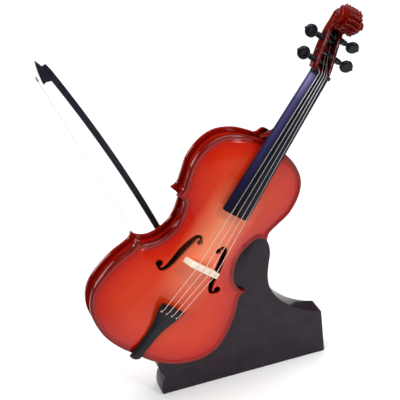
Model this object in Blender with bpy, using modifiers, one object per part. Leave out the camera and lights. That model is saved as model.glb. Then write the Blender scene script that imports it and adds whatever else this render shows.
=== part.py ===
"""A miniature cello that leans in a black display stand, with its bow held behind it.

Units are metres, +Z up. The origin is the middle of the stand's underside, X runs along
the stand and -Y is the side that the cello's front faces.

Lengths are written in millimetres and pass through mm() once, where a mesh is made. The
instrument is modelled upright in its own frame: X across, Y from its front edge plane
towards its back, Z up its centre line from its bottom edge. The empty "cello_frame" leans
it, and the empty "bow_frame" leans the bow.
"""

import math

import bmesh
import bpy
from mathutils import Matrix, Vector

# ---------------------------------------------------------------- driving dimensions (mm)
BODY_LENGTH = 142.8
LEAN_DEG = 40.1
CLEARANCE = 0.3

BODY_FOOT = (-63.7, -9.5, 33.3)
FRONT_EDGE_Y = BODY_FOOT[1]

PLATE_EDGE = 2.6
RIB_HEIGHT = 8.5
RIB_THICKNESS = 1.2
RIB_INSET = 2.4
RIB_END_GAP = 0.2
FRONT_ARCH = 4.2
BACK_ARCH = 3.2
PLATE_WOOD = 2.0
BACK_OUTSIDE = 2 * PLATE_EDGE + RIB_HEIGHT + 2 * CLEARANCE

STAND_WIDTH = 100.4
STAND_FRONT = PLATE_EDGE + 0.4
STAND_THICKNESS = 12.9
STAND_END_HEIGHT = 27.5

NUT_Z = 188.0
FINGERBOARD_END_Z = 100.0
FINGERBOARD_NUT_Y = -4.6
FINGERBOARD_END_Y = -10.3
FINGERBOARD_SIDE = 2.6

BRIDGE_Z = 66.6
BRIDGE_TOP_Y = -16.2
BRIDGE_THICKNESS = 3.0
BRIDGE_SLOPE = 0.2
STRING_RADIUS = 0.36
STRING_RISE = STRING_RADIUS + CLEARANCE

# Each peg as its name, the side that its head is on, and its place behind the front edge
# plane and along the neck.
PEGS = (("peg_low_left", -1, 1.4, 194.3), ("peg_low_right", 1, 3.2, 199.0),
        ("peg_high_left", -1, 7.4, 205.9), ("peg_high_right", 1, 8.6, 209.0))
PEG_BORE_RADIUS = 1.35
PEG_HEAD_RADIUS = 3.7
PEG_HEAD_FLATNESS = 0.42
PEG_HEAD_OFFSET = 13.8

BOW_FOOT = (-9.7, 11.2, 13.0)
BOW_LEAN_DEG = -21.2
BOW_LENGTH = 208.0
BOW_CAMBER = 6.1
BOW_STICK_RADIUS = 1.85

# Half outline of the plates, bottom centre to neck, as (across, up). Sharp corners part
# it into the lower bout, the waist and the upper bout.
LOWER_BOUT = [(0.0, 0.0), (12.0, 0.3), (24.0, 3.2), (36.2, 10.7), (43.0, 21.0), (43.9, 32.0),
              (41.6, 44.5), (38.2, 53.2), (37.1, 57.6), (38.4, 61.0)]
WAIST = [(38.4, 61.0), (33.6, 60.8), (28.2, 63.7), (24.2, 69.8), (22.2, 77.6), (23.4, 85.6),
         (26.0, 91.6), (31.8, 93.2)]
UPPER_BOUT = [(31.8, 93.2), (30.3, 97.4), (31.6, 103.0), (34.1, 113.0), (33.0, 124.0),
              (28.6, 132.6), (20.4, 138.4), (11.2, 141.2), (0.0, BODY_LENGTH)]
STEPS_PER_SPAN = (2, 2, 2)


def mm(*values):
    """Millimetres to metres, as a vector."""
    return Vector([value * 0.001 for value in values])


# ------------------------------------------------------------------------------ the scene
def clear_scene():
    for obj in list(bpy.data.objects):
        bpy.data.objects.remove(obj, do_unlink=True)


def new_collection(name, shown=True):
    collection = bpy.data.collections.new(name)
    bpy.context.scene.collection.children.link(collection)
    collection.hide_render = not shown
    return collection


def make_material(name, colour, roughness, metallic=0.0, coat=0.0):
    material = bpy.data.materials.new(name)
    material.use_nodes = True
    shader = material.node_tree.nodes["Principled BSDF"]
    shader.inputs["Base Color"].default_value = (*colour, 1.0)
    shader.inputs["Roughness"].default_value = roughness
    shader.inputs["Metallic"].default_value = metallic
    shader.inputs["Coat Weight"].default_value = coat
    material.diffuse_color = (*colour, 1.0)
    return material


def empty(name, location, turn_y_deg):
    holder = bpy.data.objects.new(name, None)
    holder.location = mm(*location)
    holder.rotation_euler = (0.0, math.radians(turn_y_deg), 0.0)
    holder.empty_display_size = 0.01
    PARTS.objects.link(holder)
    return holder


def piece(name, mesh, material, parent=None, location=(0, 0, 0)):
    """A visible sub-part from a finished mesh."""
    mesh.name = name
    mesh.materials.clear()
    mesh.materials.append(material)
    mesh.shade_smooth()
    mesh.set_sharp_from_angle(angle=math.radians(35))
    obj = bpy.data.objects.new(name, mesh)
    obj.location = mm(*location)
    obj.parent = parent
    PARTS.objects.link(obj)
    return obj


def helper(name, mesh, parent=None, location=(0, 0, 0)):
    """A cutter or a shape that is joined to another, left out of the render."""
    obj = bpy.data.objects.new(name, mesh)
    obj.location = mm(*location)
    obj.parent = parent
    obj.hide_render = True
    obj.display_type = "WIRE"
    HELPERS.objects.link(obj)
    return obj


def boolean(obj, other, operation):
    modifier = obj.modifiers.new(other.name, "BOOLEAN")
    modifier.operation = operation
    modifier.solver = "EXACT"
    modifier.object = other


# ----------------------------------------------------------------------------- the shapes
def finished(shape, mesh):
    """Writes a closed bmesh to a mesh with its faces pointing out."""
    bmesh.ops.recalc_face_normals(shape, faces=shape.faces)
    if shape.calc_volume(signed=True) < 0:
        bmesh.ops.reverse_faces(shape, faces=shape.faces)
    shape.to_mesh(mesh)
    shape.free()
    return mesh


def curve_mesh(curve):
    """The mesh of a curve, with its caps welded on."""
    maker = bpy.data.objects.new("curve_maker", curve)
    HELPERS.objects.link(maker)
    bpy.context.view_layer.update()
    graph = bpy.context.evaluated_depsgraph_get()
    mesh = bpy.data.meshes.new_from_object(maker.evaluated_get(graph))
    bpy.data.objects.remove(maker, do_unlink=True)
    shape = bmesh.new()
    shape.from_mesh(mesh)
    bmesh.ops.remove_doubles(shape, verts=shape.verts, dist=0.000002)
    return finished(shape, mesh)


def slab(outline, front, back):
    """A flat outline in the XZ plane, as thick as from front to back along Y."""
    curve = bpy.data.curves.new("slab", "CURVE")
    curve.dimensions = "2D"
    curve.fill_mode = "BOTH"
    curve.extrude = 0.0005 * (back - front)
    spline = curve.splines.new("POLY")
    spline.points.add(len(outline) - 1)
    for point, (across, up) in zip(spline.points, outline):
        point.co = (*mm(across, up, 0.0), 1.0)
    spline.use_cyclic_u = True
    mesh = curve_mesh(curve)
    for vertex in mesh.vertices:
        across, up, depth = vertex.co
        vertex.co = (across, 0.0005 * (front + back) - depth, up)
    return mesh


def rod(points, radius, radii=None):
    """A round wire or stick through the points, with closed ends."""
    curve = bpy.data.curves.new("rod", "CURVE")
    curve.dimensions = "3D"
    curve.bevel_depth = radius * 0.001
    curve.bevel_resolution = 1
    curve.use_fill_caps = True
    spline = curve.splines.new("POLY")
    spline.points.add(len(points) - 1)
    for index, (point, place) in enumerate(zip(spline.points, points)):
        point.co = (*mm(*place), 1.0)
        point.radius = radii[index] / radius if radii else 1.0
    return curve_mesh(curve)


def loft(rings):
    """A closed skin over rings of equal point counts, in millimetres, with flat ends."""
    shape = bmesh.new()
    rows = [[shape.verts.new(mm(*point)) for point in ring] for ring in rings]
    count = len(rows[0])
    for low, high in zip(rows, rows[1:]):
        for index in range(count):
            after = (index + 1) % count
            shape.faces.new((low[index], low[after], high[after], high[index]))
    shape.faces.new(list(reversed(rows[0])))
    shape.faces.new(rows[-1])
    return finished(shape, bpy.data.meshes.new("loft"))


def block(low, high):
    """A box between two corners, in millimetres."""
    shape = bmesh.new()
    bmesh.ops.create_cube(shape, size=0.001)
    middle = [(a + b) / 2 for a, b in zip(low, high)]
    for vertex in shape.verts:
        offset = [value * (b - a) for value, a, b in zip(vertex.co, low, high)]
        vertex.co = mm(*middle) + Vector(offset)
    return finished(shape, bpy.data.meshes.new("block"))


def turned(profile, axis, segments=16):
    """A solid turned about X, Y or Z from (distance along the axis, radius) pairs."""
    low, high = profile[0][0], profile[-1][0]
    outline = [(high, 0.0), *reversed(profile), (low, 0.0)]
    mesh = bpy.data.meshes.new("profile")
    points = [mm(radius, 0.0, along) for along, radius in outline]
    mesh.from_pydata(points, [(i, i + 1) for i in range(len(points) - 1)], [])
    maker = bpy.data.objects.new("turned_maker", mesh)
    HELPERS.objects.link(maker)
    screw = maker.modifiers.new("turn", "SCREW")
    screw.axis = "Z"
    screw.steps = screw.render_steps = segments
    screw.use_merge_vertices = True
    screw.merge_threshold = 0.000005
    bpy.context.view_layer.update()
    graph = bpy.context.evaluated_depsgraph_get()
    solid = bpy.data.meshes.new_from_object(maker.evaluated_get(graph))
    bpy.data.objects.remove(maker, do_unlink=True)
    turns = {"X": ("Y", 90), "X_MINUS": ("Y", -90), "Y": ("X", -90), "Z": ("Z", 0)}
    about, degrees = turns[axis]
    solid.transform(Matrix.Rotation(math.radians(degrees), 4, about))
    return solid


def smooth_through(points, steps):
    """A Catmull-Rom curve through the points, without its last point."""
    padded = [points[0], *points, points[-1]]
    path = []
    for before, start, end, after in zip(padded, padded[1:], padded[2:], padded[3:]):
        for step in range(steps):
            t = step / steps
            path.append(tuple(
                0.5 * (2 * b + (c - a) * t + (2 * a - 5 * b + 4 * c - d) * t ** 2
                       + (3 * b - a - 3 * c + d) * t ** 3)
                for a, b, c, d in zip(before, start, end, after)))
    return path


def mix(a, b, amount):
    return a + (b - a) * amount


def mirrored(half):
    """A closed outline from its right half, which starts and ends on the centre line."""
    return half + [(-across, up) for across, up in reversed(half[1:-1])]


# ------------------------------------------------------------------------- body outlines
def plate_half(steps=STEPS_PER_SPAN):
    half = []
    for stretch, count in zip((LOWER_BOUT, WAIST, UPPER_BOUT), steps):
        half += smooth_through(stretch, count)
    return half + [UPPER_BOUT[-1]]


def offset_path(path, distance):
    """The path moved to its left by a distance, that is inwards for the right half."""
    moved = []
    for index, (across, up) in enumerate(path):
        before = path[max(index - 1, 0)]
        after = path[min(index + 1, len(path) - 1)]
        along = Vector(after) - Vector(before)
        along.normalize()
        moved.append((across - along.y * distance, up + along.x * distance))
    return moved


def crossing(path, other):
    """Where two paths cross: the last index before it on each, and the point."""
    for i, (a, b) in enumerate(zip(path, path[1:])):
        for j, (c, d) in enumerate(zip(other, other[1:])):
            r = Vector(b) - Vector(a)
            s = Vector(d) - Vector(c)
            bend = r.x * s.y - r.y * s.x
            if abs(bend) < 1e-9:
                continue
            gap = Vector(c) - Vector(a)
            t = (gap.x * s.y - gap.y * s.x) / bend
            u = (gap.x * r.y - gap.y * r.x) / bend
            if 0 <= t <= 1 and 0 <= u <= 1:
                return i, j, tuple(Vector(a) + r * t)
    raise ValueError("the two stretches don't cross")


def inset_stretches(distance):
    """The lower bout, waist and upper bout moved inwards and cut where they meet."""
    stretches = []
    for points, steps in zip((LOWER_BOUT, WAIST, UPPER_BOUT), (4, 3, 4)):
        stretches.append(offset_path(smooth_through(points, steps) + [points[-1]], distance))
    lower, waist, upper = stretches
    i, j, low_corner = crossing(lower, waist)
    k, m, high_corner = crossing(waist, upper)
    lower = [(0.0, distance)] + lower[1:i + 1] + [low_corner]
    upper = [high_corner] + upper[m + 1:-1] + [(0.0, BODY_LENGTH - distance)]
    waist = [low_corner] + waist[j + 1:k + 1] + [high_corner]
    return lower, waist, upper


def pull_ends(path, distance):
    """The path with its two ends drawn back along it."""
    path = [Vector(point) for point in path]
    path[0] += (path[1] - path[0]).normalized() * distance
    path[-1] += (path[-2] - path[-1]).normalized() * distance
    return [tuple(point) for point in path]


# ---------------------------------------------------------------------------- the pieces
def arched_plate(name, edge_y, out, arch, material, parent, rings=6):
    """A carved plate with a rounded rim, a sunk channel inside it and a hollowed inside.

    edge_y is the outer plane of its rim, and out is -1 where the outside faces -Y.
    """
    outline = mirrored(plate_half())

    def centre(up):
        return (0.0, min(max(up, 38.0), 108.0))

    def ring(inwards, share, y):
        points = []
        for across, up in outline:
            rim = Vector((across, up))
            target = Vector(centre(up))
            reach = (target - rim).length
            amount = min(inwards / reach, 0.9) if inwards is not None else share
            place = rim.lerp(target, amount)
            points.append((place.x, y, place.y))
        return points

    def depth(height):
        return edge_y + out * height

    rows = []
    for step in range(rings):
        share = mix(0.93, 0.30, step / (rings - 1))
        rise = math.sin(math.pi / 2 * (share - 0.12) / 0.81) ** 1.6
        rows.append(ring(None, share, depth(arch * rise)))
    rows.append(ring(4.6, 0.0, depth(-0.25)))
    rows.append(ring(2.0, 0.0, depth(-0.1)))
    rows.append(ring(0.9, 0.0, depth(0.0)))
    rows.append(ring(0.0, 0.0, depth(-0.8)))
    rows.append(ring(0.0, 0.0, depth(-1.9)))
    rows.append(ring(0.7, 0.0, depth(-PLATE_EDGE)))
    rows.append(ring(5.6, 0.0, depth(-PLATE_EDGE)))
    for step in range(3):
        share = mix(0.42, 0.92, step / 2)
        rise = math.sin(math.pi / 2 * (share - 0.12) / 0.81) ** 1.6
        rows.append(ring(None, share, depth(arch * rise - PLATE_WOOD)))
    return piece(name, loft(rows), material, parent)


def add_sound_holes(front):
    """Two f-shaped holes: a stem that swells at the middle and a round eye at each end."""
    path = smooth_through([(6.3, 77.4), (7.6, 79.1), (9.7, 78.3), (11.1, 74.5), (12.9, 67.0),
                           (13.9, 60.5), (15.2, 55.6), (17.2, 53.0), (19.8, 53.6)], 2)
    path.append((19.8, 53.6))
    last = len(path) - 1
    widths = [0.75 + 1.35 * math.sin(math.pi * index / last) ** 3 for index in range(last + 1)]
    left = [offset_path(path, width)[index] for index, width in enumerate(widths)]
    right = [offset_path(path, -width)[index] for index, width in enumerate(widths)]
    stem = left + right[::-1]
    eyes = [(6.5, 76.4, 1.8), (20.1, 55.4, 2.15)]
    for side, sign in (("right", 1), ("left", -1)):
        outline = [(sign * across, up) for across, up in stem]
        cutter = helper(f"cut_f_stem_{side}", slab(outline, -8.0, 6.0), front.parent)
        boolean(front, cutter, "DIFFERENCE")
        for number, (across, up, radius) in enumerate(eyes, 1):
            mesh = turned([(-8.0, radius), (6.0, radius)], "Y", 14)
            place = (sign * across, 0.0, up)
            cutter = helper(f"cut_f_eye_{side}_{number}", mesh, front.parent, place)
            boolean(front, cutter, "DIFFERENCE")


def make_plates():
    front = arched_plate("front_plate", 0.0, -1, FRONT_ARCH, VARNISH, CELLO)
    add_sound_holes(front)
    back = arched_plate("back_plate", BACK_OUTSIDE, 1, BACK_ARCH, VARNISH, CELLO)
    button = [(-5.4, BODY_LENGTH - 4.0), (5.4, BODY_LENGTH - 4.0), (5.2, BODY_LENGTH + 3.0),
              (3.4, BODY_LENGTH + 5.6), (-3.4, BODY_LENGTH + 5.6), (-5.2, BODY_LENGTH + 3.0)]
    low = BACK_OUTSIDE - PLATE_EDGE + 0.05
    tab = helper("join_button", slab(button, low, BACK_OUTSIDE - 0.3), CELLO)
    boolean(back, tab, "UNION")


def make_ribs():
    """Six bent strips between the plates, with a block in each corner."""
    outer = inset_stretches(RIB_INSET)
    inner = inset_stretches(RIB_INSET + RIB_THICKNESS)
    front = PLATE_EDGE + CLEARANCE
    back = front + RIB_HEIGHT
    for name, outside, inside in zip(("lower", "waist", "upper"), outer, inner):
        strip = pull_ends(outside, RIB_END_GAP) + pull_ends(inside, RIB_END_GAP)[::-1]
        for side, sign in (("right", 1), ("left", -1)):
            outline = [(sign * max(across, CLEARANCE / 2), up) for across, up in strip]
            piece(f"rib_{name}_{side}", slab(outline, front, back), VARNISH, CELLO)

    lower, waist, upper = inset_stretches(RIB_INSET + RIB_THICKNESS + CLEARANCE)
    corners = {"lower": lower[-4:] + waist[1:3], "upper": waist[-3:] + upper[1:4]}
    for name, corner in corners.items():
        for side, sign in (("right", 1), ("left", -1)):
            outline = [(sign * across, up) for across, up in corner]
            piece(f"corner_block_{name}_{side}", slab(outline, front, back), SPRUCE, CELLO)


def make_inside():
    """The blocks, the bass bar and the sound post that brace the box."""
    front = PLATE_EDGE + CLEARANCE
    back = front + RIB_HEIGHT
    rib = RIB_INSET + RIB_THICKNESS + CLEARANCE + 0.2
    tail = block((-7.0, front, rib + 0.2), (7.0, back, rib + 4.4))
    piece("tail_block", tail, SPRUCE, CELLO)
    high = BODY_LENGTH - rib - 0.6
    piece("neck_block", block((-8.0, front, high - 6.0), (8.0, back, high)), SPRUCE, CELLO)
    bar = [(-1.1, 42.0), (-1.1, 102.0), (2.2, 84.0), (2.2, 58.0)]
    rings = [[(across, depth, up) for depth, up in bar] for across in (-6.9, -5.6)]
    piece("bass_bar", loft(rings), SPRUCE, CELLO)
    post = turned([(-1.2, 1.3), (14.6, 1.3)], "Y", 12)
    piece("sound_post", post, SPRUCE, CELLO, (8.2, 0.0, 62.0))


def fingerboard_y(up):
    share = (up - FINGERBOARD_END_Z) / (NUT_Z - FINGERBOARD_END_Z)
    return mix(FINGERBOARD_END_Y, FINGERBOARD_NUT_Y, share)


def arc_section(up, top, half_width, camber, bottom):
    """A board's cross-section: a cambered top, straight sides and a flat underside."""
    points = []
    for step in range(7):
        across = mix(-1.0, 1.0, step / 6)
        points.append((half_width * across, top + camber * across ** 2, up))
    points.append((half_width * 0.94, bottom, up))
    points.append((-half_width * 0.94, bottom, up))
    return points


def make_fingerboard():
    ends = ((FINGERBOARD_END_Z, 8.2), (NUT_Z, 5.9))
    rings = []
    for up, half_width in ends:
        top = fingerboard_y(up)
        rings.append(arc_section(up, top, half_width, 1.0, top + 1.0 + FINGERBOARD_SIDE))
    piece("fingerboard", loft(rings), EBONY, CELLO)
    low = NUT_Z + CLEARANCE
    rings = [arc_section(up, FINGERBOARD_NUT_Y - 0.75, 6.0, 0.8, -1.3) for up in (low, low + 1.9)]
    piece("nut", loft(rings), EBONY, CELLO)


def neck_section(up, front, back, half_width):
    """A neck's cross-section: flat under the board and round behind."""
    points = [(-half_width, front, up), (half_width, front, up)]
    for step in range(7):
        angle = math.pi * step / 6
        points.append((half_width * math.cos(angle), mix(front, back, 0.35)
                       + 0.65 * (back - front) * math.sin(angle), up))
    return points


def make_neck():
    """The neck, open pegbox and scroll, one carved piece of wood."""
    board_gap = 1.0 + FINGERBOARD_SIDE + CLEARANCE
    rings = []
    for up, back, half_width in ((143.3, 11.0, 6.6), (146.5, 10.2, 6.2), (150.0, 7.2, 5.5),
                                 (156.0, 4.6, 5.1), (170.0, 3.8, 4.8), (190.6, 4.2, 4.9)):
        front = fingerboard_y(min(up, NUT_Z)) + board_gap
        rings.append(neck_section(up, front, back, half_width))
    neck = piece("neck_scroll", loft(rings), VARNISH, CELLO)

    foot = block((-6.4, 3.0, 140.9), (6.4, 10.9, 144.4))
    boolean(neck, helper("join_neck_foot", foot, CELLO), "UNION")

    sections = ((190.5, -2.9, 4.2, 5.6), (200.0, 1.4, 10.0, 5.2), (211.0, 6.8, 14.4, 4.6),
                (215.0, 8.4, 14.9, 4.1))
    rings = [[(-w, f, z), (w, f, z), (w, b - 1.0, z), (w - 1.0, b, z), (1.0 - w, b, z),
              (-w, b - 1.0, z)] for z, f, b, w in sections]
    boolean(neck, helper("join_pegbox", loft(rings), CELLO), "UNION")

    steps = [(4.0, 7.4), (4.4, 5.8), (5.2, 5.8), (5.6, 4.0), (6.5, 4.0), (7.2, 2.8)]
    profile = [(-across, radius) for across, radius in reversed(steps)] + steps
    volute = helper("join_volute", turned(profile, "X", 20), CELLO, (0.0, 3.5, 220.2))
    boolean(neck, volute, "UNION")

    walls = ((191.2, -6.0, 2.0, 3.9), (200.0, -2.0, 8.2, 3.4), (211.2, 2.0, 12.6, 2.8))
    rings = [[(-w, f, z), (w, f, z), (w, b, z), (-w, b, z)] for z, f, b, w in walls]
    boolean(neck, helper("cut_pegbox", loft(rings), CELLO), "DIFFERENCE")
    for name, _, y, z in PEGS:
        bore = turned([(-9.0, PEG_BORE_RADIUS), (9.0, PEG_BORE_RADIUS)], "X", 16)
        boolean(neck, helper(f"cut_{name}_bore", bore, CELLO, (0.0, y, z)), "DIFFERENCE")


def make_pegs():
    """A tapered shaft across the pegbox, a collar outside it and a flat round head."""
    for name, side, y, z in PEGS:
        shaft = turned([(-5.6, 1.2), (5.9, 1.3), (5.9, 1.9), (6.8, 2.1), (7.4, 1.4), (9.6, 1.2),
                        (10.8, 1.3)], "X" if side > 0 else "X_MINUS", 12)
        peg = piece(name, shaft, EBONY, CELLO, (0.0, y, z))
        head = bmesh.new()
        bmesh.ops.create_uvsphere(head, u_segments=12, v_segments=7,
                                  radius=PEG_HEAD_RADIUS / 1000)
        turn = Matrix.Rotation(math.radians(35.0 if side > 0 else -8.0), 3, "X")
        for vertex in head.verts:
            vertex.co.y *= PEG_HEAD_FLATNESS
            vertex.co = turn @ vertex.co + mm(side * PEG_HEAD_OFFSET, 0.0, 0.0)
        mesh = finished(head, bpy.data.meshes.new("head"))
        boolean(peg, helper(f"join_{name}_head", mesh, CELLO, (0.0, y, z)), "UNION")


def make_bridge():
    """A thin arched plate on two feet that holds the strings off the front."""
    half = [(0.0, -7.6), (3.0, -7.3), (4.8, -6.2), (5.2, -4.4), (9.1, -3.8), (9.4, -5.0),
            (9.3, -9.0), (9.2, -13.6), (8.6, -14.95), (4.4, -15.88), (0.0, BRIDGE_TOP_Y)]
    rings = []
    for off in (-BRIDGE_THICKNESS / 2, BRIDGE_THICKNESS / 2):
        rings.append([(across, y, BRIDGE_Z + off - BRIDGE_SLOPE * (y - BRIDGE_TOP_Y))
                      for across, y in mirrored(half)])
    piece("bridge", loft(rings), MAPLE, CELLO)


def make_tailpiece():
    """The tailpiece, whose narrow end curls round the edge of the front.

    Each section is its height, depth, turn, half width and thickness. Its outside faces
    -Y at no turn, and down where it has turned a quarter.
    """
    sections = ((-2.9, 1.7, 90, 2.2, 1.6), (-2.8, 0.2, 80, 2.7, 1.6), (-2.2, -1.3, 58, 3.1, 1.4),
                (-0.8, -2.5, 32, 3.3, 1.1), (1.8, -3.0, 10, 3.4, 0.9), (8.0, -3.9, 0, 3.3, 1.0),
                (17.0, -5.4, 0, 3.6, 1.1), (23.5, -6.6, 0, 4.6, 1.2), (28.6, -7.4, 0, 6.2, 1.2),
                (33.0, -8.2, 0, 7.4, 1.2), (37.2, -8.8, 0, 7.7, 1.1))
    rings = []
    for up, depth, degrees, half_width, thick in sections:
        turn = math.radians(degrees)
        section = arc_section(0.0, 0.0, half_width, 0.9, 0.9 + thick)
        rings.append([(across, depth + math.cos(turn) * inwards, up + math.sin(turn) * inwards)
                      for across, inwards, _ in section])
    piece("tailpiece", loft(rings), EBONY, CELLO)


def make_strings():
    """Four strings from the tailpiece over the bridge and the nut to the pegs."""
    ends = {-1.5: PEGS[0], -0.5: PEGS[2], 0.5: PEGS[3], 1.5: PEGS[1]}
    for number, (place, peg) in enumerate(ends.items(), 1):
        _, _, peg_y, peg_z = peg
        crown = 0.32 * place * place
        rise = STRING_RISE
        over_nut = FINGERBOARD_NUT_Y - 0.8 + crown * 0.3 - rise
        points = [(place * 3.5, -8.6 + crown * 0.35 - rise, 34.4),
                  (place * 3.6, -9.0 + crown * 0.35 - rise, 37.6),
                  (place * 4.05, BRIDGE_TOP_Y + crown * 0.95 - rise, BRIDGE_Z),
                  (place * 2.4, over_nut, NUT_Z + 0.4),
                  (place * 2.35, over_nut, NUT_Z + 2.5),
                  (place * 1.5, peg_y - 1.3 - rise, peg_z - 0.6)]
        piece(f"string_{number}", rod(points, STRING_RADIUS), STEEL, CELLO)


def stand_outline():
    """The stand's front: an ogee left end, a square right end and a curved upright."""
    foot = STAND_WIDTH / 2
    left = smooth_through([(-50.8, 21.8), (-50.2, 16.4), (-47.6, 11.2)], 4)
    left += smooth_through([(-47.6, 11.2), (-49.2, 8.0), (-foot, 3.0)], 4)
    left += [(-foot, 0.9), (0.9 - foot, 0.0)]
    sweep = smooth_through([(foot - 0.8, STAND_END_HEIGHT), (43.5, 29.4), (34.0, 34.6),
                            (25.4, 42.6), (20.6, 51.0), (19.7, 59.0), (20.8, 66.5),
                            (22.4, 74.0), (22.2, 80.0)], 3)
    right = [(foot - 0.9, 0.0), (foot, 0.9), (foot, STAND_END_HEIGHT - 0.8)]
    top = [(21.2, 82.9), (8.0, 94.0), (-6.0, 60.0), (-30.0, 40.0), (-44.0, 26.0)]
    return left + right + sweep + top


def make_stand():
    """One thick board cut to the cello's outline, with a rebate for the back plate."""
    front = STAND_FRONT + FRONT_EDGE_Y
    back = front + STAND_THICKNESS
    stand = piece("stand", slab(stand_outline(), front, back), LACQUER)

    lower, waist, upper = inset_stretches(RIB_INSET - 0.35)
    nest = mirrored(lower[:-1] + waist[:-1] + upper)
    rib_cut = helper("cut_cradle", slab(nest, 0.0, 30.0), CELLO)
    lower, waist, upper = (smooth_through(points, 3) for points in (LOWER_BOUT, WAIST, UPPER_BOUT))
    rim = mirrored(offset_path(lower + waist + upper + [UPPER_BOUT[-1]], -0.4))
    rebate = BACK_OUTSIDE - PLATE_EDGE - 0.35
    rim_cut = helper("cut_rebate", slab(rim, rebate, 30.0), CELLO)
    boolean(stand, rib_cut, "DIFFERENCE")
    boolean(stand, rim_cut, "DIFFERENCE")


def make_bow_holder():
    """A block behind the stand with a slot that the bow's head drops into."""
    back = STAND_FRONT + FRONT_EDGE_Y + STAND_THICKNESS + CLEARANCE
    outline = [(-28.0, 0.0), (2.0, 0.0), (2.0, 22.0), (0.0, 24.0), (-26.0, 24.0), (-28.0, 22.0)]
    holder = piece("bow_holder", slab(outline, back, back + 9.0), LACQUER)
    slot = block((-8.2, -2.25, -0.6), (5.4, 2.25, 40.0))
    boolean(holder, helper("cut_bow_slot", slot, BOW), "DIFFERENCE")


def make_bow():
    """The stick with its head, the frog, the ferrule and the hair."""
    stick_path = []
    radii = []
    for step in range(13):
        share = step / 12
        bend = BOW_CAMBER * 4 * share * (1 - share)
        stick_path.append((bend, 0.0, mix(1.6, BOW_LENGTH, share)))
        radii.append(mix(1.4, BOW_STICK_RADIUS, min(share * 2.0, 1.0)))
    stick = piece("bow_stick", rod(stick_path, BOW_STICK_RADIUS, radii), BOW_BLACK, BOW)
    head = [(1.2, 0.4), (1.2, 9.0), (-0.8, 9.6), (-2.2, 7.4), (-6.4, 5.4), (-6.8, 3.4),
            (-6.0, 2.6), (-1.4, 0.4)]
    boolean(stick, helper("join_bow_head", slab(head, -1.0, 1.0), BOW), "UNION")

    end = BOW_LENGTH
    frog = [(-1.3, end - 8.4), (-1.8, end - 4.0), (-2.2, end - 0.3), (-1.4, end + 0.6),
            (-1.9, end + 2.0), (-2.5, end + 4.2), (-3.2, end + 3.6), (-5.3, end - 7.2),
            (-4.8, end - 8.2), (-2.6, end - 7.8)]
    piece("bow_frog", slab(frog, -2.0, 2.0), BOW_BLACK, BOW)

    ferrule = block((-7.5, -1.7, end - 5.6), (-6.0, 1.7, end - 2.8))
    piece("bow_ferrule", ferrule, NICKEL, BOW)
    rings = []
    for up, x in ((5.0, -7.4), (end - 5.9, -6.8)):
        rings.append([(x - 0.25, -1.2, up), (x + 0.25, -1.2, up),
                      (x + 0.25, 1.2, up), (x - 0.25, 1.2, up)])
    piece("bow_hair", loft(rings), HAIR, BOW)


# ------------------------------------------------------------------------------ assembly
clear_scene()
PARTS = new_collection("cello")
HELPERS = new_collection("helpers", shown=False)

VARNISH = make_material("red_varnish", (0.50, 0.045, 0.012), 0.18, coat=1.0)
EBONY = make_material("black_fittings", (0.012, 0.012, 0.016), 0.25, coat=0.6)
LACQUER = make_material("black_lacquer", (0.022, 0.018, 0.022), 0.15, coat=1.0)
BOW_BLACK = make_material("bow_black", (0.015, 0.014, 0.018), 0.3, coat=0.4)
MAPLE = make_material("pale_maple", (0.82, 0.66, 0.44), 0.45)
SPRUCE = make_material("plain_spruce", (0.60, 0.42, 0.24), 0.7)
STEEL = make_material("string_wire", (0.75, 0.74, 0.72), 0.3, metallic=1.0)
NICKEL = make_material("nickel", (0.55, 0.55, 0.56), 0.3, metallic=1.0)
HAIR = make_material("white_hair", (0.90, 0.89, 0.86), 0.6)

CELLO = empty("cello_frame", BODY_FOOT, LEAN_DEG)
BOW = empty("bow_frame", BOW_FOOT, BOW_LEAN_DEG)

make_plates()
make_ribs()
make_inside()
make_fingerboard()
make_neck()
make_pegs()
make_bridge()
make_tailpiece()
make_strings()
make_stand()
make_bow_holder()
make_bow()
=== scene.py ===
"""The looks of a miniature cello in its stand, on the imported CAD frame.

Lengths are in millimetres until mm() turns them into metres. The cello's pieces are made
upright in its own frame, X across, Y from the front edge plane to the back and Z up the
centre line, and CELLO_AT leans them into the stand. The bow has a frame of its own too.
"""

import math

import bmesh
import bpy
import numpy as np
from mathutils import Matrix, Vector
from mathutils.geometry import delaunay_2d_cdt


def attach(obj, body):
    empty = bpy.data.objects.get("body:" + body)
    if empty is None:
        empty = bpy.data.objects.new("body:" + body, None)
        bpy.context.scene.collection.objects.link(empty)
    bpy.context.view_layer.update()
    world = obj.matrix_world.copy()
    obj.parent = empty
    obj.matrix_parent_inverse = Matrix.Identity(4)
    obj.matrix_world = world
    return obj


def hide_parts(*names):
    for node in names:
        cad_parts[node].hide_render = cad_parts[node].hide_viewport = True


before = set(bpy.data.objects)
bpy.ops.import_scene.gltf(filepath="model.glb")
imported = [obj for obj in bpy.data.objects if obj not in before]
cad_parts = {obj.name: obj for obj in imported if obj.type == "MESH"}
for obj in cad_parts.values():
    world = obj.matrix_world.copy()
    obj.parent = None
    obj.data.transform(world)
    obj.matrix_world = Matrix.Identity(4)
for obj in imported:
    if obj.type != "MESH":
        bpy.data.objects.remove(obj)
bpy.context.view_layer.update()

# ---- the CAD's dimensions
BODY_LENGTH = 142.8
PLATE_EDGE = 2.6
RIB_HEIGHT = 8.5
RIB_THICKNESS = 1.2
RIB_INSET = 2.4
RIB_CLEAR = 0.02
GAP = 0.3
RIB_BACK = PLATE_EDGE + 2 * GAP + RIB_HEIGHT
FRONT_ARCH = 4.2
BACK_ARCH = 3.2
BACK_OUTSIDE = 2 * PLATE_EDGE + RIB_HEIGHT + 2 * GAP
STAND_FRONT = 3.0
STAND_THICKNESS = 12.9
FRONT_EDGE_Y = -9.5
NUT_Z = 188.0
BOARD_END_Z = 100.0
BOARD_NUT_Y = -4.6
BOARD_END_Y = -10.3
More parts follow.
